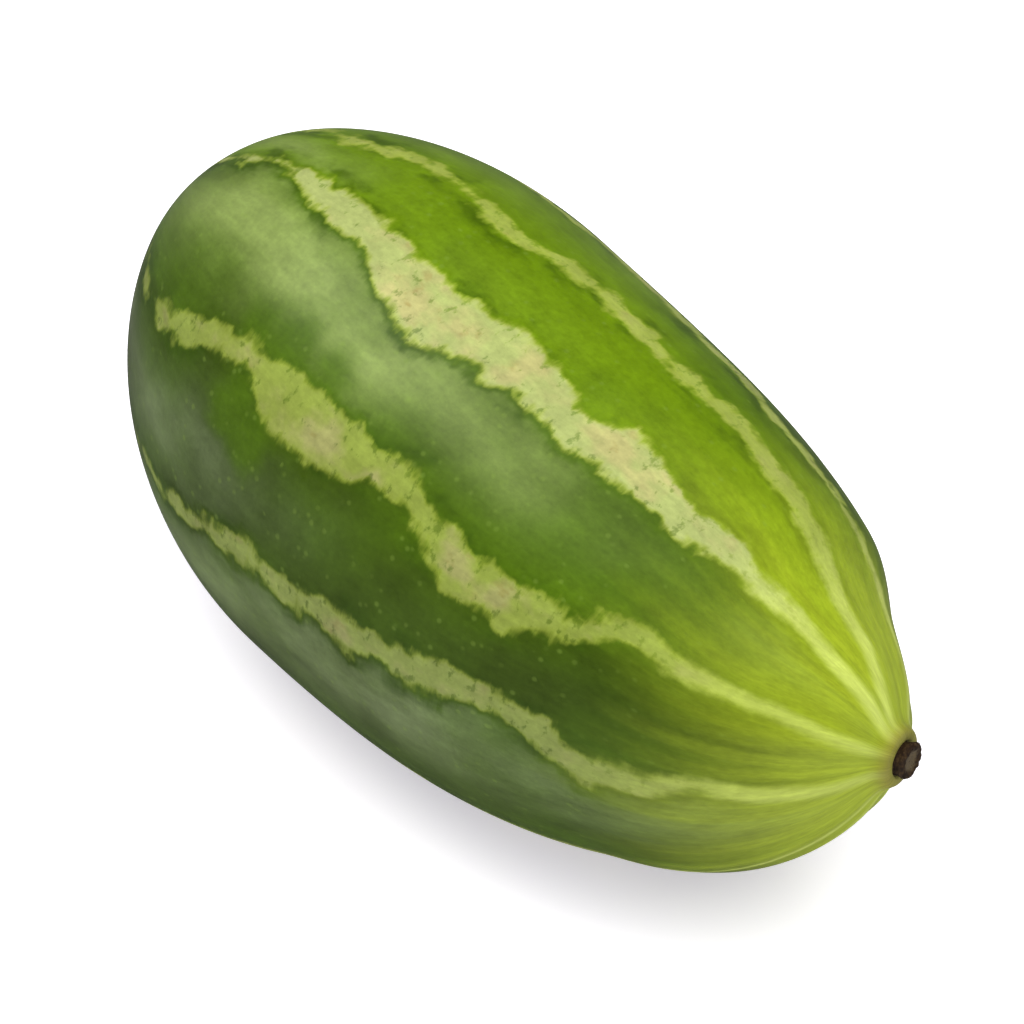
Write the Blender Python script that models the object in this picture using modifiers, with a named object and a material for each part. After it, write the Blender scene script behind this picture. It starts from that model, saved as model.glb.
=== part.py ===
"""An ivy gourd lying on its side: a small striped green fruit with the dry stub of its stem.

Metres, +Z up. The fruit lies on z = 0 on a small flat spot, with its stem end towards +X.
The origin is on the table, under the middle of the whole object's box.
Until it is laid down, the fruit is drawn standing: its axis is local Z, with the stem end up.
"""

import math

import bpy
import numpy as np
from mathutils import Matrix, Vector

# Fruit, measured along its axis from the rim of the neck
FRUIT_LENGTH = 0.0564
FRUIT_DIAMETER = 0.0286
WIDEST_SHARE = 0.616
STEM_END_POWERS = (2.92, 1.67)
BLOSSOM_END_POWERS = (1.98, 1.75)

# How the axis strays from straight: both ends bow to one side, and the stem end nods the same way
SIDEWAYS_BEND = 0.0021
NOD = math.radians(18.6)
NOD_TURN = math.radians(76)
NOD_PIVOT = 0.0070
NOD_STARTS = 0.0115
NOD_ENDS = 0.0012

# Neck, the short pale cone that carries the stub
NECK_RISE = 0.0003
NECK_RADIUS = 0.00155
NECK_FLARE = 0.60
NECK_FILLET = 0.0006

# Ribs that run to the neck, one under each pale stripe, as angles from the top in degrees
RIB_ANGLES = (-82, -46, -6, 24, 70, 105, 140, 175, 210, 245)
RIB_HEIGHT = 0.00022
RIB_HALF_WIDTH = 11
RIB_REACH = 0.011

# Round scar at the blossom end
SCAR_RADIUS = 0.0024
SCAR_DEPTH = 0.00025

# Dry stub of the stem
GAP = 0.0003
STUB_RADIUS = 0.0011
STUB_HEIGHT = 0.0006
STUB_SEAT = 0.0005
STUB_DIMPLE = 0.00018
STUB_UNEVENNESS = 0.07

# How it lies
FLAT_DEPTH = 0.00018
MOST_TILT = 8

# Fineness
FRUIT_SIDES = 60
FRUIT_RINGS = 36
STUB_SIDES = 20

SKIN_COLOUR = (0.13, 0.26, 0.03, 1)
STUB_COLOUR = (0.07, 0.035, 0.015, 1)

SOCKET_RADIUS = STUB_RADIUS + GAP
SOCKET_DEPTH = STUB_SEAT + GAP
TOP = FRUIT_LENGTH / 2


def clear_scene():
    for obj in list(bpy.data.objects):
        bpy.data.objects.remove(obj)


def new_collection(name):
    collection = bpy.data.collections.new(name)
    bpy.context.scene.collection.children.link(collection)
    return collection


def new_material(name, colour, roughness):
    material = bpy.data.materials.new(name)
    material.use_nodes = True
    shader = material.node_tree.nodes["Principled BSDF"]
    shader.inputs["Base Color"].default_value = colour
    shader.inputs["Roughness"].default_value = roughness
    shader.inputs["Metallic"].default_value = 0
    return material


def body_radius(share):
    """Half width of the plain body, at this share of its length from the stem end."""
    if share <= 0:
        return 0.0
    if share < WIDEST_SHARE:
        from_widest = 1 - share / WIDEST_SHARE
        along, across = STEM_END_POWERS
    else:
        from_widest = (share - WIDEST_SHARE) / (1 - WIDEST_SHARE)
        along, across = BLOSSOM_END_POWERS
    return FRUIT_DIAMETER / 2 * max(1 - from_widest**along, 0) ** (1 / across)


def larger_of(a, b, fillet):
    """The larger of two radii, rounded where they meet."""
    near = max(fillet - abs(a - b), 0)
    return max(a, b) + near * near / (4 * fillet)


def skin_radius(below_rim):
    """Half width of the fruit at this distance below the rim of the neck."""
    share = (below_rim - NECK_RISE) / (FRUIT_LENGTH - NECK_RISE)
    cone = NECK_RADIUS + NECK_FLARE * below_rim
    if below_rim > FRUIT_LENGTH / 2:
        return body_radius(share)
    return larger_of(body_radius(share), min(cone, 3 * NECK_RADIUS), NECK_FILLET)


def fruit_profile():
    """(radius, height) from the middle of the socket's floor, over the rim, to the rear pole."""
    rim = (SOCKET_RADIUS + NECK_RADIUS) / 2
    points = [
        (0, TOP - SOCKET_DEPTH),
        (SOCKET_RADIUS, TOP - SOCKET_DEPTH),
        (SOCKET_RADIUS, TOP - GAP / 3),
        (rim, TOP),
    ]
    for ring in range(1, FRUIT_RINGS):
        below = FRUIT_LENGTH * (1 - math.cos(math.pi * ring / FRUIT_RINGS)) / 2
        radius = skin_radius(below)
        scar = SCAR_DEPTH * math.exp(-((radius / SCAR_RADIUS) ** 4)) if below > TOP else 0
        points.append((radius, TOP - below + scar))
    points.append((0, -TOP + SCAR_DEPTH))
    return points


def stub_profile():
    """(radius, height) from the dimple in the stub's dry end, down its side, to its foot."""
    end = TOP + STUB_HEIGHT
    return [
        (0, end - STUB_DIMPLE),
        (STUB_RADIUS * 0.45, end - STUB_DIMPLE * 0.75),
        (STUB_RADIUS * 0.78, end),
        (STUB_RADIUS * 0.98, end - STUB_HEIGHT * 0.14),
        (STUB_RADIUS, end - STUB_HEIGHT * 0.38),
        (STUB_RADIUS * 0.86, end - STUB_HEIGHT * 0.66),
        (STUB_RADIUS * 0.90, TOP),
        (STUB_RADIUS * 0.94, TOP - STUB_SEAT * 0.6),
        (STUB_RADIUS * 0.75, TOP - STUB_SEAT),
        (0, TOP - STUB_SEAT),
    ]


def turned(name, profile, sides, material, collection):
    """An object turned about Z from a profile, with the turning made real."""
    mesh = bpy.data.meshes.new(name + "_profile")
    edges = [(i, i + 1) for i in range(len(profile) - 1)]
    mesh.from_pydata([(radius, 0, height) for radius, height in profile], edges, [])
    drawn = bpy.data.objects.new(name + "_profile", mesh)
    collection.objects.link(drawn)
    screw = drawn.modifiers.new("turn", "SCREW")
    screw.axis = "Z"
    screw.steps = sides
    screw.render_steps = sides
    screw.use_merge_vertices = True
    screw.merge_threshold = 0.00001
    graph = bpy.context.evaluated_depsgraph_get()
    whole = bpy.data.meshes.new_from_object(drawn.evaluated_get(graph))
    bpy.data.objects.remove(drawn)
    whole.name = name
    whole.shade_smooth()
    whole.materials.clear()
    whole.materials.append(material)
    obj = bpy.data.objects.new(name, whole)
    collection.objects.link(obj)
    return obj


def raise_ribs(mesh):
    """Lifts the skin under each stripe near the neck. An angle of 0 is local -X, the top at rest."""
    for vertex in mesh.vertices:
        radius = math.hypot(vertex.co.x, vertex.co.y)
        below = TOP - vertex.co.z
        if radius <= SOCKET_RADIUS + GAP / 3 or below > 3 * RIB_REACH:
            continue
        angle = math.degrees(math.atan2(vertex.co.y, -vertex.co.x))
        off = min(abs((angle - rib + 180) % 360 - 180) for rib in RIB_ANGLES)
        fade = min(below / NECK_RADIUS, 1) * math.exp(-((below / RIB_REACH) ** 2))
        lift = RIB_HEIGHT * fade * math.exp(-((off / RIB_HALF_WIDTH) ** 2))
        vertex.co.x *= 1 + lift / radius
        vertex.co.y *= 1 + lift / radius


def roughen_stub(mesh):
    """Makes the dry stub uneven round its side, as a broken stem is."""
    for vertex in mesh.vertices:
        angle = math.atan2(vertex.co.y, vertex.co.x)
        share = min(max(vertex.co.z - TOP, 0) / STUB_HEIGHT, 1)
        swell = math.cos(3 * angle + 0.6) + 0.6 * math.cos(5 * angle - 1.1)
        scale = 1 + STUB_UNEVENNESS * share * (swell - 0.8)
        vertex.co.x *= scale
        vertex.co.y *= scale
        vertex.co.z += STUB_DIMPLE * 0.4 * share * math.cos(2 * angle + 0.9)


def eased(share):
    """0 to 1, slow at both ends."""
    share = min(max(share, 0), 1)
    return share * share * (3 - 2 * share)


def bow(mesh):
    """Turns the stem end about a point on the axis, then bows both ends towards local +Y.

    The stem end turns towards NOD_TURN round from the top, which is local -X.
    """
    towards = Vector((-math.cos(NOD_TURN), math.sin(NOD_TURN), 0))
    hinge = Vector((0, 0, 1)).cross(towards)
    pivot = Vector((0, 0, TOP - NOD_PIVOT))
    for vertex in mesh.vertices:
        below = TOP - vertex.co.z
        bend = SIDEWAYS_BEND * (vertex.co.z / TOP) ** 2
        angle = NOD * eased((NOD_STARTS - below) / (NOD_STARTS - NOD_ENDS))
        vertex.co = pivot + Matrix.Rotation(angle, 3, hinge) @ (vertex.co - pivot)
        vertex.co.y += bend


def rest_pose():
    """(angle, height): how far the stem end dips, and how high the middle of the axis lies.

    The fruit settles where its centre of mass is lowest over the table.
    """
    outline = np.array(fruit_profile())
    radii = outline[:, 0]
    heights = outline[:, 1]
    slices = radii**2 * -np.gradient(heights)
    weight = np.clip(slices, 0, None)
    centre = (heights * weight).sum() / weight.sum()
    angles = np.radians(np.linspace(-MOST_TILT, MOST_TILT, 40 * MOST_TILT + 1))
    drops = [((heights - centre) * math.sin(a) + radii * math.cos(a)).max() for a in angles]
    lowest = int(np.argmin(drops))
    angle = float(angles[lowest])
    return angle, float(drops[lowest]) + centre * math.sin(angle)


def cut_flat(fruit, collection):
    """Takes the flat spot off the fruit's underside, level with the table."""
    size = 2 * FRUIT_LENGTH
    bpy.ops.mesh.primitive_cube_add(size=size, location=(0, 0, -size / 2))
    cutter = bpy.context.object
    cutter.name = "table_cutter"
    for home in list(cutter.users_collection):
        home.objects.unlink(cutter)
    collection.objects.link(cutter)
    cutter.hide_render = True
    cutter.display_type = "WIRE"
    cut = fruit.modifiers.new("flat spot", "BOOLEAN")
    cut.operation = "DIFFERENCE"
    cut.object = cutter


def world_box(objects):
    bpy.context.view_layer.update()
    graph = bpy.context.evaluated_depsgraph_get()
    corners = []
    for obj in objects:
        evaluated = obj.evaluated_get(graph)
        mesh = evaluated.to_mesh()
        corners += [evaluated.matrix_world @ vertex.co for vertex in mesh.vertices]
        evaluated.to_mesh_clear()
    places = np.array(corners)
    return places.min(axis=0), places.max(axis=0)


def main():
    clear_scene()
    gourd = new_collection("ivy_gourd")
    cutters = new_collection("cutters")

    skin = new_material("fruit_skin", SKIN_COLOUR, 0.32)
    fruit = turned("fruit", fruit_profile(), FRUIT_SIDES, skin, gourd)
    raise_ribs(fruit.data)
    bow(fruit.data)

    dry = new_material("dry_stem", STUB_COLOUR, 0.85)
    stub = turned("stem_stub", stub_profile(), STUB_SIDES, dry, gourd)
    roughen_stub(stub.data)
    bow(stub.data)

    dip, height = rest_pose()
    lying = bpy.data.objects.new("lying", None)
    gourd.objects.link(lying)
    lying.rotation_euler = (0, math.pi / 2 + dip, 0)
    lying.location = (0, 0, height - FLAT_DEPTH)
    for piece in (fruit, stub):
        piece.parent = lying
    cut_flat(fruit, cutters)

    low, high = world_box((fruit, stub))
    lying.location.x -= (low[0] + high[0]) / 2
    lying.location.y -= (low[1] + high[1]) / 2


main()
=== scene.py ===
"""The looks of an ivy gourd that lies on its side: a striped green fruit and the dry stub of its stem.

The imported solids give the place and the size. Lengths are in metres, unless a name ends in _MM.
Until it is laid down, each piece is drawn standing: the fruit's axis is Z, with the stem end up.
"""

import math

import bmesh
import bpy
from mathutils import Matrix, Vector, noise


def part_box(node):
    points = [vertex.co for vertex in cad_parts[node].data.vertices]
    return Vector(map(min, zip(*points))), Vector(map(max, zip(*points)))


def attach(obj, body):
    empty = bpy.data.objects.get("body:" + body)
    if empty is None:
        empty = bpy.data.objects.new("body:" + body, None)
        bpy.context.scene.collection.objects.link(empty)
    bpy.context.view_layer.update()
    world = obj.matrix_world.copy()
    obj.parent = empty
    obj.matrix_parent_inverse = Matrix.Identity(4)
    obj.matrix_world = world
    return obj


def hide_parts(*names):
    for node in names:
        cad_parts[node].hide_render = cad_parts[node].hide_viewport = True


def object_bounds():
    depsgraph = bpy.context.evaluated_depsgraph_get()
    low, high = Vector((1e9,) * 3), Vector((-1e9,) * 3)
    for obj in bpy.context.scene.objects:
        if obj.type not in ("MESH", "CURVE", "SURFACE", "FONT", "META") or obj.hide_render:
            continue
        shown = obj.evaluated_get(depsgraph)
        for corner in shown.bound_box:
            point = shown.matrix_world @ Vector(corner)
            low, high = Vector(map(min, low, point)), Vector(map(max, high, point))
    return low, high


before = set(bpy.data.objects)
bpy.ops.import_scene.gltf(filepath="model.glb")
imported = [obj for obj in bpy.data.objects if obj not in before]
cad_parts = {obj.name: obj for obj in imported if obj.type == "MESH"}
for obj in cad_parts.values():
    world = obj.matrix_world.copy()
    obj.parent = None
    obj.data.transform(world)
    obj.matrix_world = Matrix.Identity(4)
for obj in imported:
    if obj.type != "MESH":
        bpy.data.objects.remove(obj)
cad_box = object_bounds()

MM = 0.001

# The fruit's body, measured along its axis from the rim of the neck
FRUIT_LENGTH = 56.4 * MM
FRUIT_DIAMETER = 28.6 * MM
WIDEST_SHARE = 0.616
STEM_END_POWERS = (2.92, 1.67)
BLOSSOM_END_POWERS = (1.98, 1.75)
TOP = FRUIT_LENGTH / 2

# How its axis strays from straight, and how it lies
SIDEWAYS_BEND = 2.1 * MM
NOD = math.radians(18.6)
NOD_TURN = math.radians(76)
NOD_PIVOT = 7.0 * MM
NOD_STARTS = 11.5 * MM
NOD_ENDS = 1.2 * MM
DIP = math.radians(1.2)

# Neck and the socket that holds the stub
NECK_RISE = 0.3 * MM
NECK_RADIUS = 1.55 * MM
NECK_FLARE = 0.60
NECK_FILLET = 0.6 * MM
NECK_LIP = 0.14 * MM
NECK_DROP = 0.16 * MM
NECK_STEPS = 8
STUB_RADIUS = 1.06 * MM
STUB_HEIGHT = 0.55 * MM
STUB_SEAT = 0.5 * MM
STUB_DIMPLE = 0.2 * MM
STUB_UNEVENNESS = 0.10
STUB_CRUMBLE = 0.05 * MM
STUB_CRUMB_SIZE = 0.28 * MM
SOCKET_RADIUS = 0.97 * MM
SOCKET_DEPTH = 0.6 * MM

# Blossom scar at the blunt end
SCAR_RADIUS = 2.4 * MM
SCAR_DEPTH = 0.25 * MM
SCAR_RIM = 0.07 * MM

# Relief of the skin
RIB_HEIGHT = 0.22 * MM
RIB_REACH = 11 * MM
RIB_HALF_WIDTH = 11
SKIN_SWELL = 0.07 * MM
SKIN_SWELL_SIZE = 6.5 * MM
SKIN_SWELL_STRETCH = 0.55

# Fineness
FRUIT_SIDES = 260
FRUIT_RINGS = 230
STUB_SIDES = 120
STUB_STEPS = 4
MERGE_DISTANCE = 0.001 * MM

# Pale stripes, in turn round the axis. An angle is in degrees round the axis from the top at rest,
# with the near side negative. A path is a row of (distance below the rim in mm, angle, width in mm).
# "tone" is how pale the stripe is, "cream" how creamy its middle and "tan" how much beige it holds.
# "ground" is how yellow the green is between it and the next stripe. The wax row says how much pale
# wax lies there, as a row of (distance below the rim in mm, amount, place across the gap from 0 to 1);
# on the upper near side this wax is also a painted highlight, and in the darker gaps its grey is a
# painted reflection of the white table at the low rims.
STRIPES = (
    dict(
        name="low near side", tone=0.60, cream=0.55, tan=0.85, ground=0.16,
        wax_and_highlight=((0, 0.0, 0.5), (24, 0.02, 0.5), (32, 0.12, 0.4), (38, 0.35, 0.4), (44, 0.50, 0.4),
               (54, 0.40, 0.5)),
        path=((0, -86, 0.5), (3.6, -79, 0.9), (5.7, -75, 0.9), (8, -80, 1.5), (10, -83, 2.3),
              (13, -77, 1.6), (16.4, -74, 1.3), (18.5, -76, 2.0), (22, -79, 1.6), (25, -81, 2.1),
              (27.5, -80, 1.7), (30, -82, 1.4), (33.5, -82, 1.7), (36, -85, 0.9), (39, -89, 1.2),
              (43, -92, 0.5), (48, -96, 0.4), (54, -90, 0.2)),
    ),
    dict(
        name="high near side", tone=0.68, cream=0.30, tan=0.95, ground=0.34,
        wax_and_highlight=((0, 0.35, 0.6), (5, 0.35, 0.6), (9, 0.05, 0.6), (16, 0.18, 0.65), (21, 0.60, 0.65),
               (27, 0.65, 0.62), (33, 1.08, 0.56), (40, 1.45, 0.62), (47, 1.1, 0.70), (54, 0.60, 0.5)),
        path=((0, -46, 0.5), (4.8, -38, 0.8), (9.5, -38, 1.3), (14.5, -47, 2.0), (16.4, -51, 2.5),
              (19, -51, 2.5), (22, -48, 2.1), (25, -43, 1.8), (27.5, -43, 2.0), (30, -46, 3.4),
              (33.5, -46, 3.8), (36, -45.5, 2.5), (38.5, -44, 1.7), (40.5, -46.5, 1.5), (43.2, -50, 1.9),
              (46, -56, 1.0), (50, -60, 0.5), (54, -56, 0.2)),
    ),
    dict(
        name="top", tone=0.98, cream=0.95, tan=0.95, ground=0.88,
        wax_and_highlight=((0, 0.0, 0.5), (20, 0.04, 0.4), (40, 0.08, 0.4), (45, 0.65, 0.3), (48, 0.80, 0.35),
               (54, 0.40, 0.5)),
        path=((0, -10, 0.5), (2, -4, 0.9), (6, 1, 1.1), (8.5, -1, 1.6), (10.5, -1, 2.1),
              (13.5, -6, 2.0), (15.8, -4, 2.9), (18.5, -5, 3.2), (21, -8, 2.4), (24, -5, 2.9),
              (27, -6, 3.5), (31, -9, 4.0), (34.5, -9, 3.2), (38, -6, 2.4), (42, -5, 2.0),
              (44.5, -4, 1.5), (46.5, -3, 0.6), (54, -6, 0.2)),
    ),
    dict(
        name="far shoulder", tone=0.92, cream=0.25, tan=0.30, ground=0.85,
        wax_and_highlight=((0, 0.0, 0.5), (18, 0.0, 0.5), (32, 0.10, 0.6), (44, 0.25, 0.5), (54, 0.40, 0.5)),
        path=((0, 8, 0.5), (3.3, 22, 0.9), (8.6, 28, 1.4), (11, 28, 1.5), (13.5, 29, 1.5),
              (16.4, 28, 1.3), (19.4, 27, 1.3), (22.5, 27, 0.9), (25.3, 27, 1.5), (27.7, 27, 1.3),
              (30.6, 26, 1.2), (34.4, 21, 1.1), (36.9, 21, 1.0), (39.6, 23, 0.9), (45.8, 19, 1.2),
              (50, 22, 0.5), (54, 24, 0.2)),
    ),
    dict(
        name="far side", tone=0.92, cream=0.40, tan=0.50, ground=0.40,
        wax_and_highlight=((0, 0.0, 0.5), (14, 0.20, 0.5), (25, 0.60, 0.55), (38, 0.70, 0.5), (54, 0.35, 0.5)),
        path=((0, 66, 0.3), (6, 60, 0.7), (12, 50, 1.1), (17.5, 47, 1.1), (21, 50, 1.4),
              (25, 49, 1.2), (28, 51, 1.5), (33, 53, 1.2), (36.5, 48, 1.1), (43, 52, 1.5),
              (48, 56, 0.8), (54, 52, 0.2)),
    ),
    dict(
        name="low far side", tone=0.86, cream=0.80, tan=0.95, ground=0.28,
        wax_and_highlight=((0, 0.0, 0.5), (15, 0.25, 0.5), (28, 0.55, 0.45), (42, 0.45, 0.5), (54, 0.40, 0.5)),
        path=((0, 104, 0.3), (5, 100, 0.7), (10, 93, 1.3), (14, 88, 2.4), (18, 91, 1.9),
              (22, 95, 3.3), (26, 93, 2.7), (30, 89, 3.7), (34, 92, 2.3), (38, 97, 2.8),
              (42, 94, 1.4), (47, 90, 0.9), (54, 96, 0.2)),
    ),
    dict(
        name="far underside", tone=0.74, cream=0.40, tan=0.60, ground=0.50,
        wax_and_highlight=((0, 0.0, 0.5), (18, 0.20, 0.5), (30, 0.35, 0.5), (45, 0.30, 0.5), (54, 0.30, 0.5)),
        path=((0, 140, 0.3), (5, 133, 0.6), (10, 130, 1.0), (15, 134, 1.7), (19, 130, 1.3),
              (24, 127, 2.2), (28, 131, 1.6), (33, 135, 2.6), (38, 131, 1.7), (43, 127, 1.0),
              (48, 132, 0.7), (54, 136, 0.2)),
    ),
    dict(
        name="underside", tone=0.90, cream=0.60, tan=0.85, ground=0.34,
        wax_and_highlight=((0, 0.0, 0.5), (18, 0.20, 0.5), (30, 0.30, 0.5), (45, 0.30, 0.5), (54, 0.30, 0.5)),
        path=((0, 176, 0.3), (5, 170, 0.7), (10, 166, 1.5), (15, 169, 2.1), (20, 174, 2.9),
              (25, 170, 2.4), (30, 166, 3.2), (35, 171, 2.5), (40, 176, 1.6), (45, 172, 1.2),
              (49, 168, 0.7), (54, 174, 0.2)),
    ),
    dict(
        name="near underside", tone=0.70, cream=0.45, tan=0.50, ground=0.30,
        wax_and_highlight=((0, 0.0, 0.5), (15, 0.20, 0.5), (28, 0.40, 0.5), (42, 0.35, 0.5), (54, 0.40, 0.5)),
        path=((0, 206, 0.3), (6, 201, 0.7), (11, 198, 1.2), (16, 200, 1.6), (21, 203, 1.2),
              (26, 200, 2.0), (31, 197, 1.8), (36, 200, 1.3), (42, 204, 1.0), (48, 201, 0.6),
              (54, 203, 0.2)),
    ),
    dict(
        name="low underside", tone=0.80, cream=0.60, tan=0.85, ground=0.26,
        wax_and_highlight=((0, 0.15, 0.7), (8, 0.30, 0.7), (20, 0.55, 0.7), (34, 0.55, 0.7), (54, 0.45, 0.5)),
        path=((0, 222, 0.3), (5, 224, 0.6), (9, 226, 1.4), (13, 228, 2.2), (18, 230, 1.7),
              (23, 233, 2.8), (28, 230, 2.0), (33, 227, 2.9), (38, 230, 2.1), (43, 232, 1.2),
              (48, 229, 0.6), (54, 232, 0.2)),
    ),
)
GROUNDS = [stripe["ground"] for stripe in STRIPES]
# How wide the wax, with its painted highlight and reflection, lies across a gap
WAX_AND_HIGHLIGHT_WIDTH = 0.28
BLEND_REACH = 0.25
NO_MARGIN = -9.0

# Shader noise mostly stays within a quarter of its middle, so this brings its swing to about 1
NOISE_TO_ONE = 4.0
SPECKS_PER_MM = 1.5

# Soft spots, as (distance below the rim in mm, angle, size in mm): bare dark skin, and beige
DARK_SPOTS = (
    (39.0, -40, 1.9), (36.3, -37, 2.3), (33.3, -34.5, 2.0), (37.8, -55, 2.2), (35.6, -58, 2.2),
    (12.3, -35, 2.4), (9.2, -34, 1.8), (31.0, 72, 2.8), (28.0, 74, 2.2), (19.0, 110, 2.4),
    (34.0, 150, 3.0), (17.0, 186, 2.4), (27.0, 212, 2.8),
)
BEIGE_SPOTS = (
    (31.6, -47.5, 1.5), (27.3, -44, 0.9), (33.5, -8, 2.1), (29.8, -9, 1.7), (25.2, -5, 1.3),
    (18.6, -5, 1.4), (15.4, -4, 1.2), (11.0, -1, 0.9), (17.6, -50, 1.0), (20.5, -50, 0.9),
    (25.4, -81, 0.9), (22.0, 95, 1.5), (30.5, 89, 1.7), (33.0, 135, 1.1), (29.5, 166, 1.5),
    (20.0, 174, 1.3), (33.0, 227, 1.3),
)
RIB_ANGLES = (-82, -46, -6, 24, 66, 104, 138, 172, 204, 234)

# Framing: the view of the photograph, through a long lens
CAMERA_AZIMUTH = math.radians(50)
CAMERA_ELEVATION = math.radians(45)
CAMERA_DISTANCE = 2.0
CAMERA_WIDTH = 55.0 * MM
SENSOR_MM = 36

# The table's top lies this far under the fruit, so that the two faces never share a plane
TABLE_DROP = 0.01 * MM
TABLE_SIZE = 6


def body_radius(share):
    """Half width of the plain body, at this share of its length from the stem end."""
    if share <= 0:
        return 0.0
    if share < WIDEST_SHARE:
        from_widest = 1 - share / WIDEST_SHARE
        along, across = STEM_END_POWERS
    else:
        from_widest = (share - WIDEST_SHARE) / (1 - WIDEST_SHARE)
        along, across = BLOSSOM_END_POWERS
    return FRUIT_DIAMETER / 2 * max(1 - from_widest**along, 0) ** (1 / across)


def larger_of(a, b, fillet):
    """The larger of two radii, rounded where they meet."""
    near = max(fillet - abs(a - b), 0)
    return max(a, b) + near * near / (4 * fillet)


def skin_radius(below_rim):
    """Half width of the fruit at this distance below the rim of the neck."""
    share = (below_rim - NECK_RISE) / (FRUIT_LENGTH - NECK_RISE)
    if below_rim > FRUIT_LENGTH / 2:
        return body_radius(share)
    cone = min(NECK_RADIUS + NECK_FLARE * below_rim, 3 * NECK_RADIUS)
    return larger_of(body_radius(share), cone, NECK_FILLET)


def eased(share):
    """0 to 1, slow at both ends."""
    share = min(max(share, 0), 1)
    return share * share * (3 - 2 * share)


def scar_relief(radius):
    """How far the blossom scar dips below the round end, with a low rim about it."""
    dish = SCAR_DEPTH * math.exp(-((radius / SCAR_RADIUS) ** 4))
    rim = SCAR_RIM * math.exp(-(((radius - SCAR_RADIUS) / (0.25 * SCAR_RADIUS)) ** 2))
    return dish - rim


def fruit_profile():
    """(radius, height) from the middle of the socket's floor, over the rim, to the rear pole."""
    rim = SOCKET_RADIUS + NECK_LIP
    points = [
        (0, TOP - SOCKET_DEPTH),
        (SOCKET_RADIUS * 0.6, TOP - SOCKET_DEPTH),
        (SOCKET_RADIUS, TOP - SOCKET_DEPTH * 0.8),
        (SOCKET_RADIUS, TOP - NECK_LIP),
        (rim, TOP),
    ]
    shoulder = skin_radius(NECK_DROP)
    for step in range(1, NECK_STEPS):
        share = step / NECK_STEPS
        fall = NECK_DROP * (1 - math.sqrt(1 - share * share))
        points.append((rim + share * (shoulder - rim), TOP - fall))
    for ring in range(1, FRUIT_RINGS):
        below = FRUIT_LENGTH * (1 - math.cos(math.pi * ring / FRUIT_RINGS)) / 2
        if below < NECK_DROP:
            continue
        radius = skin_radius(below)
        relief = scar_relief(radius) if below > FRUIT_LENGTH / 2 else 0
        points.append((radius, TOP - below + relief))
    points.append((0, -TOP + SCAR_DEPTH))
    return points


def turned(profile, sides):
    """A closed shape turned about Z from a profile that starts and ends on the axis."""
    bm = bmesh.new()
    verts = [bm.verts.new((radius, 0, height)) for radius, height in profile]
    edges = [bm.edges.new(pair) for pair in zip(verts, verts[1:])]
    bmesh.ops.spin(
        bm, geom=verts + edges, cent=(0, 0, 0), axis=(0, 0, 1),
        angle=2 * math.pi, steps=sides, use_merge=True,
    )
    bmesh.ops.remove_doubles(bm, verts=bm.verts, dist=MERGE_DISTANCE)
    bmesh.ops.recalc_face_normals(bm, faces=bm.faces)
    return bm


def angle_from_top(point):
    return math.degrees(math.atan2(point.y, -point.x))


def apart(a, b):
    """The turn from angle b to angle a, from -180 to 180 degrees."""
    return (a - b + 180) % 360 - 180


def on_path(path, below_mm):
    """The values of a path, such as an angle and a width, at this distance below the rim."""
    for (start, *values), (end, *next_values) in zip(path, path[1:]):
        if below_mm <= end:
            share = eased((below_mm - start) / (end - start))
            return [a + share * (b - a) for a, b in zip(values, next_values)]
    return path[-1][1:]


def gap_at(angle, centres):
    """(stripe, share) of the gap that this angle is in: the stripe before it, and the way across."""
    for index, centre in enumerate(centres):
        gap = (centres[(index + 1) % len(centres)] - centre) % 360
        turn = (angle - centre) % 360
        if turn < gap:
            return index, turn / gap
    return 0, 0.0


def blended(values, index, share):
    """The value of a gap, blended with its neighbour's where a stripe parts the two."""
    here = values[index]
    if share < BLEND_REACH:
        before = values[index - 1]
        return before + (here - before) * eased(0.5 + share / (2 * BLEND_REACH))
    if share > 1 - BLEND_REACH:
        following = values[(index + 1) % len(values)]
        return here + (following - here) * eased(0.5 - (1 - share) / (2 * BLEND_REACH))
    return here


def spotted(spots, below_mm, angle, radius_mm):
    """How deep in one of the soft spots this place lies, from 0 to 1."""
    strength = 0.0
    for spot_below, spot_angle, size in spots:
        along = below_mm - spot_below
        if abs(along) > 3 * size:
            continue
        across = math.radians(apart(angle, spot_angle)) * radius_mm
        strength = max(strength, math.exp(-(along * along + across * across) / size**2))
    return strength


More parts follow.
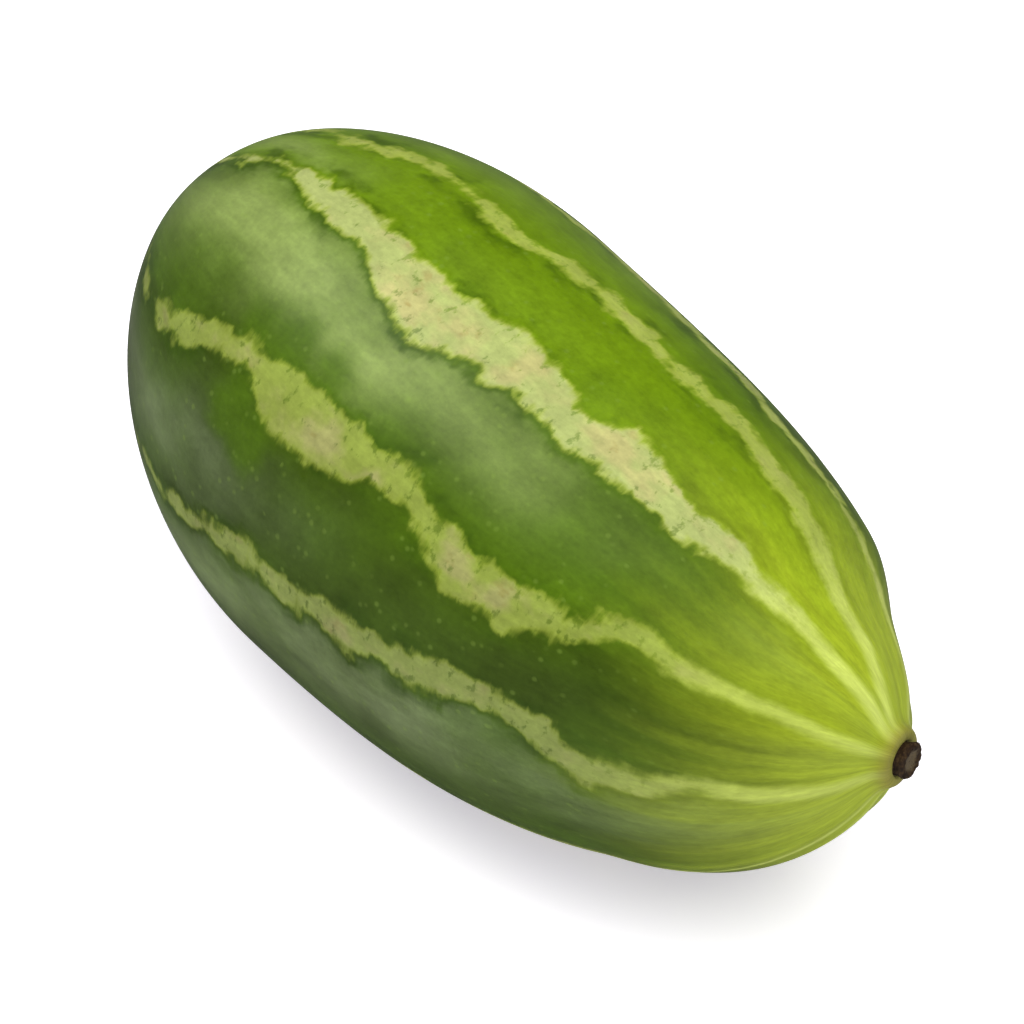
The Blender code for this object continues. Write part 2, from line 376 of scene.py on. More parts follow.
def mark_skin(bm):
    """Writes on each vertex what the skin's pattern needs, while the fruit still stands."""
    names = ("stripe", "tone", "cream", "tan", "ground", "wax_and_highlight", "dark", "beige", "below", "scar")
    layers = {name: bm.verts.layers.float.new(name) for name in names}
    growth = bm.verts.layers.float_vector.new("growth")
    wide_mm = FRUIT_DIAMETER / 2 / MM
    rings = {}
    for vert in bm.verts:
        below_mm = (TOP - vert.co.z) / MM
        key = round(below_mm, 3)
        if key not in rings:
            paths = [on_path(stripe["path"], max(below_mm, 0)) for stripe in STRIPES]
            wax_and_highlights = [on_path(stripe["wax_and_highlight"], max(below_mm, 0)) for stripe in STRIPES]
            rings[key] = paths, wax_and_highlights
        paths, wax_and_highlights = rings[key]
        centres = [centre for centre, width in paths]
        angle = angle_from_top(vert.co)
        radius_mm = math.hypot(vert.co.x, vert.co.y) / MM
        best = NO_MARGIN
        nearest = STRIPES[0]
        for (centre, width), stripe in zip(paths, STRIPES):
            off_mm = math.radians(abs(apart(angle, centre))) * radius_mm
            margin = width / 2 - off_mm
            if margin > best:
                best, nearest = margin, stripe
        vert[layers["stripe"]] = best
        for name in ("tone", "cream", "tan"):
            vert[layers[name]] = nearest[name]
        index, share = gap_at(angle, centres)
        # Wax across the gap: partly a painted highlight, and in the darker gaps a painted reflection
        amount, place = wax_and_highlights[index]
        vert[layers["ground"]] = blended(GROUNDS, index, share)
        vert[layers["wax_and_highlight"]] = amount * math.exp(-(((share - place) / WAX_AND_HIGHLIGHT_WIDTH) ** 2))
        vert[layers["dark"]] = spotted(DARK_SPOTS, below_mm, angle, radius_mm)
        vert[layers["beige"]] = spotted(BEIGE_SPOTS, below_mm, angle, radius_mm)
        vert[layers["below"]] = below_mm
        vert[layers["scar"]] = SCAR_RADIUS / MM - radius_mm if vert.co.z < 0 else NO_MARGIN
        turn = math.radians(angle)
        vert[growth] = Vector((wide_mm * math.cos(turn), wide_mm * math.sin(turn), below_mm))


def raise_ribs(bm):
    """Lifts the skin under each stripe near the neck."""
    for vert in bm.verts:
        radius = math.hypot(vert.co.x, vert.co.y)
        below = TOP - vert.co.z
        if radius <= NECK_RADIUS or below > 3 * RIB_REACH:
            continue
        angle = angle_from_top(vert.co)
        off = min(abs(apart(angle, rib)) for rib in RIB_ANGLES)
        fade = min(below / NECK_RADIUS, 1) * math.exp(-((below / RIB_REACH) ** 2))
        lift = RIB_HEIGHT * fade * math.exp(-((off / RIB_HALF_WIDTH) ** 2))
        vert.co.x *= 1 + lift / radius
        vert.co.y *= 1 + lift / radius


def swell_skin(bm):
    """Gives the skin the soft unevenness of a grown thing."""
    bm.normal_update()
    moves = []
    for vert in bm.verts:
        radius = math.hypot(vert.co.x, vert.co.y)
        fade = eased((radius - NECK_RADIUS) / (3 * NECK_RADIUS))
        place = Vector((vert.co.x, vert.co.y, vert.co.z * SKIN_SWELL_STRETCH)) / SKIN_SWELL_SIZE
        moves.append((vert, vert.normal * SKIN_SWELL * fade * noise.noise(place)))
    for vert, move in moves:
        vert.co += move


def bow(bm):
    """Turns the stem end about a point on the axis, then bows both ends towards local +Y."""
    towards = Vector((-math.cos(NOD_TURN), math.sin(NOD_TURN), 0))
    hinge = Vector((0, 0, 1)).cross(towards)
    pivot = Vector((0, 0, TOP - NOD_PIVOT))
    for vert in bm.verts:
        below = TOP - vert.co.z
        bend = SIDEWAYS_BEND * (vert.co.z / TOP) ** 2
        angle = NOD * eased((NOD_STARTS - below) / (NOD_STARTS - NOD_ENDS))
        vert.co = pivot + Matrix.Rotation(angle, 3, hinge) @ (vert.co - pivot)
        vert.co.y += bend


def lay_down(bm, shift=None):
    """Turns the standing shape onto its side. Without a shift it is set to fit the CAD fruit's box."""
    turn = Matrix.Rotation(math.pi / 2 + DIP, 3, "Y")
    bmesh.ops.rotate(bm, verts=bm.verts, cent=(0, 0, 0), matrix=turn)
    if shift is None:
        low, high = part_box("fruit")
        xs = [vert.co.x for vert in bm.verts]
        ys = [vert.co.y for vert in bm.verts]
        zs = [vert.co.z for vert in bm.verts]
        shift = Vector((
            (low.x + high.x - min(xs) - max(xs)) / 2,
            (low.y + high.y - min(ys) - max(ys)) / 2,
            high.z - max(zs),
        ))
    bmesh.ops.translate(bm, verts=bm.verts, vec=shift)
    return shift


def press_flat(bm):
    """Presses the underside level with the table, where the fruit rests."""
    for vert in bm.verts:
        vert.co.z = max(vert.co.z, 0)


def finished(bm, name, material, node):
    """Makes the piece an object in its place, riding on the body and standing for its CAD node."""
    mesh = bpy.data.meshes.new(name)
    bm.to_mesh(mesh)
    bm.free()
    mesh.shade_smooth()
    mesh.materials.append(material)
    piece = bpy.data.objects.new(name, mesh)
    bpy.context.scene.collection.objects.link(piece)
    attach(piece, "root")
    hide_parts(node)


class Wiring:
    """Adds shader nodes to one tree and joins them."""

    def __init__(self, tree):
        self.tree = tree

    def add(self, kind, **settings):
        made = self.tree.nodes.new(kind)
        for name, value in settings.items():
            setattr(made, name, value)
        return made

    def feed(self, socket, value):
        """Joins a socket to another, or sets it to a plain value."""
        if isinstance(value, bpy.types.NodeSocket):
            self.tree.links.new(value, socket)
        else:
            socket.default_value = value

    def read(self, name, vector=False):
        made = self.add("ShaderNodeAttribute", attribute_name=name)
        return made.outputs["Vector" if vector else "Fac"]

    def maths(self, operation, a, b=0.0, clamp=False):
        made = self.add("ShaderNodeMath", operation=operation, use_clamp=clamp)
        self.feed(made.inputs[0], a)
        self.feed(made.inputs[1], b)
        return made.outputs[0]

    def fade(self, value, low, high, to_low=0.0, to_high=1.0):
        """A smooth step from low to high."""
        made = self.add("ShaderNodeMapRange", interpolation_type="SMOOTHSTEP")
        self.feed(made.inputs["Value"], value)
        self.feed(made.inputs["From Min"], low)
        self.feed(made.inputs["From Max"], high)
        self.feed(made.inputs["To Min"], to_low)
        self.feed(made.inputs["To Max"], to_high)
        return made.outputs["Result"]

    def mix(self, factor, a, b, blend="MIX"):
        made = self.add("ShaderNodeMix", data_type="RGBA", blend_type=blend)
        self.feed(made.inputs["Factor"], factor)
        self.feed(made.inputs["A"], a)
        self.feed(made.inputs["B"], b)
        return made.outputs["Result"]

    def scaled(self, vector, scale):
        made = self.add("ShaderNodeMapping", vector_type="POINT")
        self.feed(made.inputs["Vector"], vector)
        made.inputs["Scale"].default_value = scale
        return made.outputs["Vector"]

    def clouds(self, vector, scale, detail=3.0, roughness=0.5):
        """Noise about 0.5."""
        made = self.add("ShaderNodeTexNoise")
        self.feed(made.inputs["Vector"], vector)
        self.feed(made.inputs["Scale"], scale)
        made.inputs["Detail"].default_value = detail
        made.inputs["Roughness"].default_value = roughness
        return made.outputs["Fac"]

    def cells(self, vector, scale):
        """Rounded cells: the distance to the middle of each, and a colour of its own."""
        made = self.add("ShaderNodeTexVoronoi", feature="F1")
        self.feed(made.inputs["Vector"], vector)
        made.inputs["Scale"].default_value = scale
        return made.outputs

    def about_zero(self, noise_value):
        """Noise about 0.5 made noise about 0."""
        return self.maths("SUBTRACT", noise_value, 0.5)

    def about_one(self, noise_value, strength):
        """Noise about 0.5 made a factor about 1 that swings by this strength."""
        swing = self.maths("MULTIPLY", self.about_zero(noise_value), strength)
        return self.maths("ADD", 1.0, self.maths("MULTIPLY", swing, 2.0))

    def joined(self, a, b, share_of_b):
        """Two plain values in one, by their shares."""
        return self.maths(
            "ADD", self.maths("MULTIPLY", a, 1 - share_of_b), self.maths("MULTIPLY", b, share_of_b),
        )

    def plus(self, value, extra, weight):
        """A value with another added at this weight."""
        return self.maths("ADD", value, self.maths("MULTIPLY", extra, weight))

    def bump(self, shader, height, strength, distance):
        """Gives the shader the relief of this height."""
        made = self.add("ShaderNodeBump")
        made.inputs["Strength"].default_value = strength
        made.inputs["Distance"].default_value = distance
        self.feed(made.inputs["Height"], height)
        self.feed(shader.inputs["Normal"], made.outputs["Normal"])

    def group(self, tree, **values):
        made = self.add("ShaderNodeGroup")
        made.node_tree = tree
        for name, value in values.items():
            self.feed(made.inputs[name.replace("_", " ")], value)
        return made.outputs


def new_group(name, inputs, outputs):
    """An empty node group and its sockets. Inputs are (name, kind, value), outputs (name, kind)."""
    tree = bpy.data.node_groups.new(name, "ShaderNodeTree")
    for label, kind, value in inputs:
        socket = tree.interface.new_socket(label, in_out="INPUT", socket_type=kind)
        if value is not None:
            socket.default_value = value
    for label, kind in outputs:
        tree.interface.new_socket(label, in_out="OUTPUT", socket_type=kind)
    wires = Wiring(tree)
    return tree, wires, wires.add("NodeGroupInput").outputs, wires.add("NodeGroupOutput").inputs


def ragged_edge_group():
    """A mask with a torn edge: 1 where the margin is over 0, with teeth across the growth."""
    tree, wires, given, put_out = new_group(
        "ragged edge",
        (
            ("Margin", "NodeSocketFloat", 0.0),
            ("Growth", "NodeSocketVector", None),
            ("Wander", "NodeSocketFloat", 0.4),
            ("Teeth", "NodeSocketFloat", 0.3),
            ("Softness", "NodeSocketFloat", 0.12),
        ),
        (("Mask", "NodeSocketFloat"), ("Margin", "NodeSocketFloat")),
    )
    wander = wires.clouds(given["Growth"], 0.55, detail=2.0)
    teeth_place = wires.scaled(given["Growth"], (0.45, 0.45, 2.4))
    teeth = wires.clouds(teeth_place, 1.0, detail=3.0, roughness=0.6)
    wander = wires.maths("MULTIPLY", wires.about_zero(wander), given["Wander"])
    teeth = wires.maths("MULTIPLY", wires.about_zero(teeth), given["Teeth"])
    torn = wires.maths("ADD", given["Margin"], wires.maths("MULTIPLY", wander, NOISE_TO_ONE))
    torn = wires.maths("ADD", torn, wires.maths("MULTIPLY", teeth, NOISE_TO_ONE))
    low = wires.maths("MULTIPLY", given["Softness"], -1.0)
    wires.feed(put_out["Mask"], wires.fade(torn, low, given["Softness"]))
    wires.feed(put_out["Margin"], torn)
    return tree


def mottle_group():
    """Cloudy light and dark at two sizes, as a factor about 1."""
    tree, wires, given, put_out = new_group(
        "mottle",
        (
            ("Place", "NodeSocketVector", None),
            ("Size", "NodeSocketFloat", 1.0),
            ("Strength", "NodeSocketFloat", 0.3),
        ),
        (("Factor", "NodeSocketFloat"), ("Fine", "NodeSocketFloat")),
    )
    scale = wires.maths("DIVIDE", 1.0, given["Size"])
    broad = wires.clouds(given["Place"], scale, detail=3.0, roughness=0.55)
    fine = wires.clouds(given["Place"], wires.maths("MULTIPLY", scale, 5.0), detail=2.0)
    both = wires.joined(broad, fine, 0.35)
    wires.feed(put_out["Factor"], wires.about_one(both, given["Strength"]))
    wires.feed(put_out["Fine"], fine)
    return tree


def grain_group():
    """Fine light and dark as a factor about 1, streaked along the growth, and pale specks."""
    tree, wires, given, put_out = new_group(
        "grain",
        (
            ("Growth", "NodeSocketVector", None),
            ("Strength", "NodeSocketFloat", 0.3),
        ),
        (("Factor", "NodeSocketFloat"), ("Specks", "NodeSocketFloat")),
    )
    streak_place = wires.scaled(given["Growth"], (1.7, 1.7, 0.30))
    pore_place = wires.scaled(given["Growth"], (3.4, 3.4, 2.6))
    streaks = wires.clouds(streak_place, 1.0, detail=4.0, roughness=0.6)
    pores = wires.clouds(pore_place, 1.0, detail=4.0, roughness=0.7)
    both = wires.joined(streaks, pores, 0.5)
    wires.feed(put_out["Factor"], wires.about_one(both, given["Strength"]))
    cells = wires.cells(given["Growth"], SPECKS_PER_MM)
    dots = wires.fade(cells["Distance"], 0.34, 0.12)
    chosen = wires.fade(cells["Color"], 0.50, 0.80)
    wires.feed(put_out["Specks"], wires.maths("MULTIPLY", dots, chosen))
    return tree


RAGGED = ragged_edge_group()
MOTTLE = mottle_group()
GRAIN = grain_group()

# Colours of the skin, as linear red, green and blue
DEEP_GREEN = (0.034, 0.062, 0.002, 1)
LEAF_GREEN = (0.060, 0.120, 0.001, 1)
LIME_GREEN = (0.122, 0.212, 0.001, 1)
DARK_EDGE_GREEN = (0.030, 0.066, 0.001, 1)
SPECK_GREEN = (0.170, 0.260, 0.035, 1)
# Pale wax, which on the upper near side is also a painted highlight
WAX_AND_HIGHLIGHT_GREEN = (0.216, 0.292, 0.066, 1)
# Grey wax of the darker gaps: a painted reflection of the white table at the low rims
WAX_AND_REFLECTION_GREY = (0.215, 0.262, 0.135, 1)
STRIPE_CREAM = (0.350, 0.400, 0.130, 1)
STRIPE_LIME = (0.280, 0.345, 0.035, 1)
STRIPE_BEIGE = (0.410, 0.385, 0.145, 1)
STRIPE_TAN = (0.310, 0.250, 0.075, 1)
TIP_YELLOW = (0.350, 0.435, 0.018, 1)
TIP_CREAM = (0.480, 0.565, 0.105, 1)
NECK_OLIVE = (0.210, 0.185, 0.030, 1)
SCAR_ORANGE = (0.230, 0.110, 0.035, 1)
SCAR_TAN = (0.300, 0.205, 0.090, 1)
SCAR_BROWN = (0.075, 0.035, 0.012, 1)

# Colours of the dry stub
DRY_CRUST = (0.020, 0.011, 0.006, 1)
DRY_BARK = (0.052, 0.031, 0.013, 1)
DRY_PITH = (0.100, 0.075, 0.038, 1)

# Pattern of the skin. A margin is in mm from the edge of the nearest stripe, positive inside it,
# and a scale is for the growth coordinates, which are in mm too.
GROUND_DRIFT_SCALE = 0.16
GROUND_DRIFT = 0.9
WAX_AND_HIGHLIGHT_SCALE = 0.30
PATCH_SCALE = 0.45
BARE_DRIFT = 1.3
BARE_MOST = 0.85
DARK_EDGE_MOST = 0.6
BEIGE_SCALE = 0.5
BEIGE_SPOT_WEIGHT = 0.24
TAN_SCALE = 0.9
TAN_MOST = 0.8
STRIPE_WANDER = 0.62
STRIPE_TEETH = 0.20
STRIPE_SOFTNESS = 0.30
CALM_AT_TIP = 0.12
TIP_REACH_MM = 7.5
TIP_REACH_BY_GROUND_MM = 14.5
TIP_DRIFT_MM = 3.0
TIP_STREAK_MM = 1.5
TIP_CURVE = 1.3
GRAIN_STRENGTH = 0.42
MOTTLE_STRENGTH = 0.42
MOTTLE_SIZE = 1.7
FLECK_MOST = 0.55
NECK_OLIVE_MOST = 0.9

# Finish of the skin
SKIN_ROUGHNESS = 0.33
SKIN_ROUGHNESS_SWING = 0.12
SCAR_ROUGHNESS = 0.35
SKIN_SPECULAR = 0.3
SKIN_SHEEN = 0.07
SKIN_SHEEN_ROUGHNESS = 0.35
SKIN_SHEEN_TINT = (0.85, 0.88, 0.80, 1)
SKIN_BUMP = 0.35
SKIN_BUMP_HEIGHT = 0.05 * MM

# Pattern of the scar and the stub, as sizes
SCAR_CRUST_SIZE = 0.9 * MM
SCAR_WANDER = 1.1
SCAR_RING_MOST = 0.85
SCAR_CRACKS_MOST = 0.8
BARK_GRAIN_SIZE = 0.22 * MM
BARK_PATCH_SIZE = 0.7 * MM
PITH_PORE_SIZE = 0.16 * MM
PITH_WANDER = 0.5
PITH_BETWEEN_PORES = 0.35
STUB_SPECULAR = 0.25
STUB_BUMP = 0.6
STUB_BUMP_HEIGHT = 0.04 * MM


def ground_colour(wires, growth, margin):
    """The green between the stripes, with wax that is partly a painted highlight and a painted
    reflection.
    """
    place = wires.scaled(growth, (1.0, 1.0, 0.6))
    ground = wires.read("ground")
    drift = wires.about_zero(wires.clouds(place, GROUND_DRIFT_SCALE, detail=2.0))
    yellow = wires.maths("ADD", ground, wires.maths("MULTIPLY", drift, GROUND_DRIFT), clamp=True)
    green = wires.mix(wires.fade(yellow, 0.0, 0.5), DEEP_GREEN, LEAF_GREEN)
    green = wires.mix(wires.fade(yellow, 0.45, 1.0), green, LIME_GREEN)

    # Pale wax: on the upper near side a painted highlight, and its grey in the darker gaps a painted
    # reflection of the table
    clouded = wires.fade(wires.clouds(place, WAX_AND_HIGHLIGHT_SCALE, detail=4.0), 0.28, 0.66, 0.5, 1.0)
    wax_and_highlight_share = wires.maths("MULTIPLY", wires.read("wax_and_highlight"), wires.fade(margin, -0.1, -0.9))
    wax_and_highlight_share = wires.maths("MULTIPLY", wax_and_highlight_share, clouded)
    wax_and_highlight_colour = wires.mix(wires.fade(ground, 0.22, 0.36), WAX_AND_REFLECTION_GREY, WAX_AND_HIGHLIGHT_GREEN)
    green = wires.mix(wax_and_highlight_share, green, wax_and_highlight_colour)

    patchy = wires.clouds(place, PATCH_SCALE, detail=3.0)
    bare = wires.plus(wires.read("dark"), wires.about_zero(patchy), BARE_DRIFT)
    green = wires.mix(wires.fade(bare, 0.15, 0.95, 0.0, BARE_MOST), green, LEAF_GREEN)

    beside = wires.maths("MULTIPLY", wires.fade(margin, -1.6, -0.4), wires.fade(margin, 0.1, -0.3))
    beside = wires.maths("MULTIPLY", beside, wires.fade(patchy, 0.48, 0.62, 0.0, DARK_EDGE_MOST))
    return wires.mix(beside, green, DARK_EDGE_GREEN)


def stripe_colour(wires, growth, margin):
    """The pale stripes, with lime at their edges and beige in their middle."""
    place = wires.scaled(growth, (1.0, 1.0, 0.8))
    creamy = wires.maths("MULTIPLY", wires.fade(margin, -0.1, 0.5), wires.read("cream"))
    pale = wires.mix(creamy, STRIPE_LIME, STRIPE_CREAM)
    beige = wires.clouds(place, BEIGE_SCALE, detail=3.0)
    beige = wires.plus(beige, wires.read("beige"), BEIGE_SPOT_WEIGHT)
    beige = wires.maths("MULTIPLY", wires.fade(beige, 0.50, 0.78), wires.fade(margin, 0.0, 0.5))
    pale = wires.mix(wires.maths("MULTIPLY", beige, wires.read("tan")), pale, STRIPE_BEIGE)
    tan = wires.fade(wires.clouds(place, TAN_SCALE, detail=3.0), 0.56, 0.68)
    tan = wires.maths("MULTIPLY", tan, wires.maths("MULTIPLY", beige, TAN_MOST))
    return wires.mix(tan, pale, STRIPE_TAN)


def scar_colour(wires, growth):
    """(mask, colour) of the blossom scar: a tan disc with a brown ring and dark cracks."""
    place = wires.add("ShaderNodeTexCoord").outputs["Object"]
    crust = wires.clouds(place, 1 / SCAR_CRUST_SIZE, detail=4.0, roughness=0.6)
    torn = wires.plus(wires.read("scar"), wires.about_zero(crust), SCAR_WANDER)
    disc = wires.fade(torn, -0.12, 0.12)
    ring = wires.maths("MULTIPLY", wires.fade(torn, 0.75, 0.15), SCAR_RING_MOST)
    cracks = wires.clouds(wires.scaled(growth, (0.55, 0.55, 0.3)), 1.0, detail=2.0)
    cracks = wires.fade(wires.maths("ABSOLUTE", wires.about_zero(cracks)), 0.035, 0.008)
    dark = wires.maths("MAXIMUM", ring, wires.maths("MULTIPLY", cracks, SCAR_CRACKS_MOST))
    tan = wires.mix(wires.fade(crust, 0.35, 0.65), SCAR_ORANGE, SCAR_TAN)
    return disc, wires.mix(dark, tan, SCAR_BROWN)


def tip_share(wires, growth, below):
    """How yellow the skin is towards the stem end: it reaches further where the green is yellower."""
    streaks = wires.clouds(wires.scaled(growth, (0.8, 0.8, 0.05)), 1.0, detail=3.0)
    drift = wires.clouds(wires.scaled(growth, (0.14, 0.14, 0.02)), 1.0, detail=2.0)
    reach = wires.maths("MULTIPLY", wires.read("ground"), TIP_REACH_BY_GROUND_MM)
    reach = wires.maths("ADD", reach, TIP_REACH_MM)
    reach = wires.maths("ADD", reach, wires.fade(drift, 0.35, 0.65, 0.0, TIP_DRIFT_MM))
    reach = wires.maths("ADD", reach, wires.fade(streaks, 0.3, 0.7, 0.0, TIP_STREAK_MM))
    tip = wires.maths("POWER", wires.fade(below, reach, -1.0), TIP_CURVE)
    return wires.maths("MULTIPLY", tip, wires.fade(streaks, 0.2, 0.75, 0.75, 1.0))


def stripe_share(wires, growth, edge, calm):
    """How much of the stripe shows: all within its torn edge, apart from small green flecks."""
    flecks = wires.clouds(wires.scaled(growth, (1.15, 1.15, 1.9)), 1.0, detail=3.0, roughness=0.6)
    flecks = wires.maths("ADD", flecks, wires.fade(edge["Margin"], 1.1, 0.1, 0.0, 0.07))
    flecks = wires.fade(flecks, 0.60, 0.72, 0.0, FLECK_MOST)
    whole = wires.maths("SUBTRACT", 1.0, wires.maths("MULTIPLY", flecks, calm))
    shown = wires.maths("MULTIPLY", edge["Mask"], whole)
    return wires.maths("MULTIPLY", shown, wires.read("tone"))


def skin_material():
    """Waxy green skin, its wax partly a painted highlight and reflection, with pale torn stripes, a
    yellow-green tip and an orange blossom scar.
    """
    material = bpy.data.materials.new("gourd skin")
    material.use_nodes = True
    wires = Wiring(material.node_tree)
    shader = material.node_tree.nodes["Principled BSDF"]
    growth = wires.read("growth", vector=True)
    below = wires.read("below")

    calm = wires.fade(below, 1.0, 14.0, CALM_AT_TIP, 1.0)
    edge = wires.group(
        RAGGED, Margin=wires.read("stripe"), Growth=growth,
        Wander=wires.maths("MULTIPLY", calm, STRIPE_WANDER),
        Teeth=wires.maths("MULTIPLY", calm, STRIPE_TEETH),
        Softness=STRIPE_SOFTNESS,
    )
    green = ground_colour(wires, growth, edge["Margin"])
    green = wires.mix(tip_share(wires, growth, below), green, TIP_YELLOW)
    grain = wires.group(GRAIN, Growth=growth, Strength=GRAIN_STRENGTH)
    specks = wires.maths("MULTIPLY", grain["Specks"], wires.fade(below, 5.0, 14.0, 0.10, 0.28))
    green = wires.mix(specks, green, SPECK_GREEN)

    pale = stripe_colour(wires, growth, edge["Margin"])
    pale = wires.mix(wires.fade(below, 11, 3), pale, TIP_CREAM)
    colour = wires.mix(stripe_share(wires, growth, edge, calm), green, pale)
    colour = wires.mix(wires.fade(below, 1.0, -0.1, 0.0, NECK_OLIVE_MOST), colour, NECK_OLIVE)

    mottle = wires.group(MOTTLE, Place=growth, Size=MOTTLE_SIZE, Strength=MOTTLE_STRENGTH)
    colour = wires.mix(1.0, colour, mottle["Factor"], blend="MULTIPLY")
    colour = wires.mix(1.0, colour, grain["Factor"], blend="MULTIPLY")
    scarred, scar = scar_colour(wires, growth)
    wires.feed(shader.inputs["Base Color"], wires.mix(scarred, colour, scar))

    rough = wires.plus(SKIN_ROUGHNESS, mottle["Fine"], SKIN_ROUGHNESS_SWING)
    rough = wires.plus(rough, scarred, SCAR_ROUGHNESS)
    wires.feed(shader.inputs["Roughness"], rough)
    shader.inputs["Specular IOR Level"].default_value = SKIN_SPECULAR
    shader.inputs["Sheen Weight"].default_value = SKIN_SHEEN
    shader.inputs["Sheen Roughness"].default_value = SKIN_SHEEN_ROUGHNESS
    shader.inputs["Sheen Tint"].default_value = SKIN_SHEEN_TINT

    height = wires.plus(mottle["Factor"], edge["Mask"], 0.3)
    height = wires.plus(height, grain["Factor"], 0.5)
    wires.bump(shader, height, SKIN_BUMP, SKIN_BUMP_HEIGHT)
    return material


def stub_profile():
    """(radius, height) from the dimple in the stub's dry end, down its side, to its foot."""
    end = TOP + STUB_HEIGHT
    corners = [
        (0, end - STUB_DIMPLE),
        (STUB_RADIUS * 0.25, end - STUB_DIMPLE * 0.95),
        (STUB_RADIUS * 0.45, end - STUB_DIMPLE * 0.75),
        (STUB_RADIUS * 0.62, end - STUB_DIMPLE * 0.35),
        (STUB_RADIUS * 0.78, end),
        (STUB_RADIUS * 0.90, end - STUB_HEIGHT * 0.03),
        (STUB_RADIUS * 0.98, end - STUB_HEIGHT * 0.16),
        (STUB_RADIUS, end - STUB_HEIGHT * 0.40),
        (STUB_RADIUS * 0.94, end - STUB_HEIGHT * 0.60),
        (STUB_RADIUS * 0.90, TOP),
        (STUB_RADIUS * 0.94, TOP - STUB_SEAT * 0.6),
        (STUB_RADIUS * 0.75, TOP - STUB_SEAT),
        (0, TOP - STUB_SEAT),
    ]
    points = corners[:1]
    for (radius, height), (next_radius, next_height) in zip(corners, corners[1:]):
        for step in range(1, STUB_STEPS + 1):
            share = step / STUB_STEPS
            points.append((
                radius + share * (next_radius - radius),
                height + share * (next_height - height),
            ))
    return points


def weather_stub(bm):
    """Makes the standing stub's outline uneven above the rim, with fibre ridges and a crumbled end."""
    layer = bm.verts.layers.float.new("out")
    for vert in bm.verts:
        radius = math.hypot(vert.co.x, vert.co.y)
        vert[layer] = radius / STUB_RADIUS
        if radius == 0 or vert.co.z < TOP:
            continue
        around = Vector((vert.co.x, vert.co.y, 0)) / radius
        lobes = noise.noise(around * 1.1 + Vector((3.1, 0, 0)))
        ridges = noise.noise(around * 4.5 + Vector((0, 7.3, vert.co.z / STUB_HEIGHT * 0.3)))
        crumbs = noise.noise(vert.co / STUB_CRUMB_SIZE)
        outer = eased(radius / STUB_RADIUS * 1.6 - 0.4)
        grow = 1 + outer * STUB_UNEVENNESS * (lobes + 0.55 * ridges - 0.35)
        vert.co.x *= grow
        vert.co.y *= grow
        if vert.co.z > TOP + STUB_HEIGHT * 0.5:
            vert.co.z += STUB_CRUMBLE * (crumbs + 0.8 * ridges * outer - 0.4)


def stub_material():
    """Dark dry crust about a paler fibrous middle."""
    material = bpy.data.materials.new("dry stem")
    material.use_nodes = True
    wires = Wiring(material.node_tree)
    shader = material.node_tree.nodes["Principled BSDF"]
    place = wires.add("ShaderNodeTexCoord").outputs["Object"]
    grain = wires.clouds(place, 1 / BARK_GRAIN_SIZE, detail=4.0, roughness=0.65)
    patches = wires.clouds(place, 1 / BARK_PATCH_SIZE, detail=2.0)
    pores = wires.fade(wires.cells(place, 1 / PITH_PORE_SIZE)["Distance"], 0.12, 0.34)
    out = wires.plus(wires.read("out"), wires.about_zero(patches), PITH_WANDER)
    fibres = wires.plus(PITH_BETWEEN_PORES, pores, 1 - PITH_BETWEEN_PORES)
    pith = wires.maths("MULTIPLY", wires.fade(out, 0.72, 0.42), fibres)
    bark = wires.mix(wires.fade(grain, 0.40, 0.66), DRY_CRUST, DRY_BARK)
    wires.feed(shader.inputs["Base Color"], wires.mix(pith, bark, DRY_PITH))
    wires.feed(shader.inputs["Roughness"], wires.fade(grain, 0.2, 0.8, 0.62, 0.92))
    shader.inputs["Specular IOR Level"].default_value = STUB_SPECULAR
    wires.bump(shader, wires.plus(grain, pores, 0.4), STUB_BUMP, STUB_BUMP_HEIGHT)
    return material


def studio():
    """White table that glows a little, so that its shadows stay light, in white surroundings."""
    bpy.ops.mesh.primitive_plane_add(size=TABLE_SIZE)
    floor = bpy.context.object
    floor.name = "table"
    floor.location.z = -TABLE_DROP
    paper = bpy.data.materials.new("white table")
    paper.use_nodes = True
    shader = paper.node_tree.nodes["Principled BSDF"]
    shader.inputs["Base Color"].default_value = (0.93, 0.93, 0.93, 1)
    shader.inputs["Roughness"].default_value = 0.9
    shader.inputs["Specular IOR Level"].default_value = 0.1
    shader.inputs["Emission Color"].default_value = (0.93, 0.87, 1.0, 1)
    shader.inputs["Emission Strength"].default_value = 0.50
    floor.data.materials.append(paper)
    floor.visible_glossy = False

    world = bpy.data.worlds.new("white room")
    bpy.context.scene.world = world
    world.use_nodes = True
    sky = world.node_tree.nodes["Background"]
    sky.inputs["Color"].default_value = (0.95, 0.93, 1.0, 1)
    sky.inputs["Strength"].default_value = 0.20
    world.cycles_visibility.glossy = False


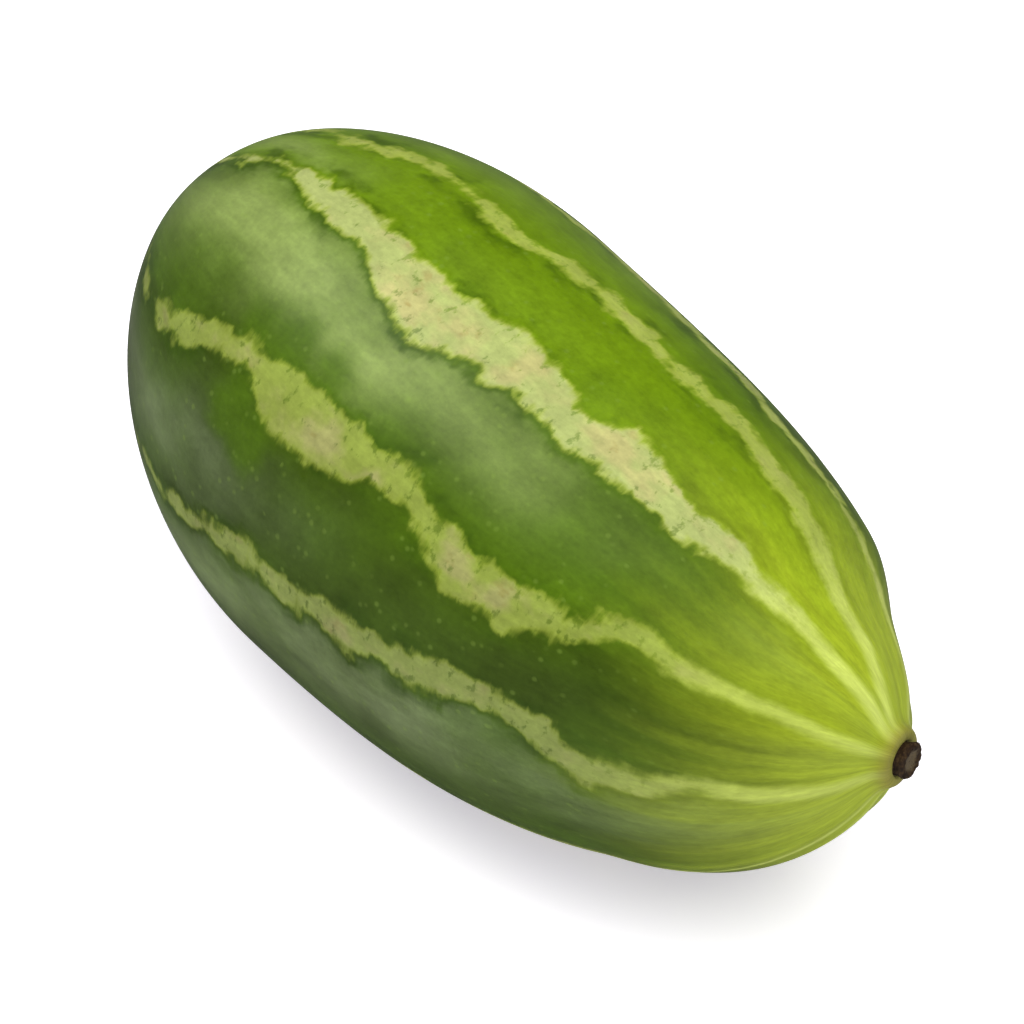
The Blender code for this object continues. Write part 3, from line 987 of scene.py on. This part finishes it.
def soft_panel(name, azimuth, elevation, distance, size, power, gleams=True):
    """A square softbox that faces the origin, at angles in degrees. One that gleams shows in gloss."""
    away = direction(math.radians(azimuth), math.radians(elevation))
    light = bpy.data.lights.new(name, "AREA")
    light.shape = "SQUARE"
    light.size = size
    light.energy = power
    lamp = bpy.data.objects.new(name, light)
    lamp.visible_glossy = gleams
    lamp.location = away * distance
    lamp.rotation_euler = (-away).to_track_quat("-Z", "Y").to_euler()
    bpy.context.scene.collection.objects.link(lamp)


def direction(azimuth, elevation):
    """The unit vector towards a viewer at this azimuth and elevation."""
    return Vector((
        math.sin(azimuth) * math.cos(elevation),
        -math.cos(azimuth) * math.cos(elevation),
        math.sin(elevation),
    ))


def camera():
    """A long lens at the photograph's viewing angle, aimed at the middle of the whole thing."""
    low, high = cad_box
    centre = (low + high) / 2
    away = direction(CAMERA_AZIMUTH, CAMERA_ELEVATION)
    lens = bpy.data.cameras.new("camera")
    lens.sensor_width = SENSOR_MM
    lens.lens = CAMERA_DISTANCE * SENSOR_MM / CAMERA_WIDTH
    lens.clip_start = 0.05
    lens.clip_end = 20
    viewer = bpy.data.objects.new("camera", lens)
    viewer.location = centre + away * CAMERA_DISTANCE
    viewer.rotation_euler = (-away).to_track_quat("-Z", "Y").to_euler()
    bpy.context.scene.collection.objects.link(viewer)
    bpy.context.scene.camera = viewer


def fruit():
    """Makes the striped fruit, and returns the shift that lays it on the table."""
    bm = turned(fruit_profile(), FRUIT_SIDES)
    mark_skin(bm)
    raise_ribs(bm)
    swell_skin(bm)
    bow(bm)
    shift = lay_down(bm)
    press_flat(bm)
    finished(bm, "gourd_skin", skin_material(), "fruit")
    return shift


def stub(shift):
    """Makes the dry stub and lays it down with the fruit's shift."""
    bm = turned(stub_profile(), STUB_SIDES)
    weather_stub(bm)
    bow(bm)
    lay_down(bm, shift)
    finished(bm, "dry_stem_stub", stub_material(), "stem_stub")


bpy.context.scene.view_settings.view_transform = "Standard"
camera()
studio()
soft_panel("overhead panel", 70, 80, 0.60, 0.85, 6.7, gleams=False)
soft_panel("left panel", -72, 52, 0.60, 0.36, 0.8)
stub(fruit())
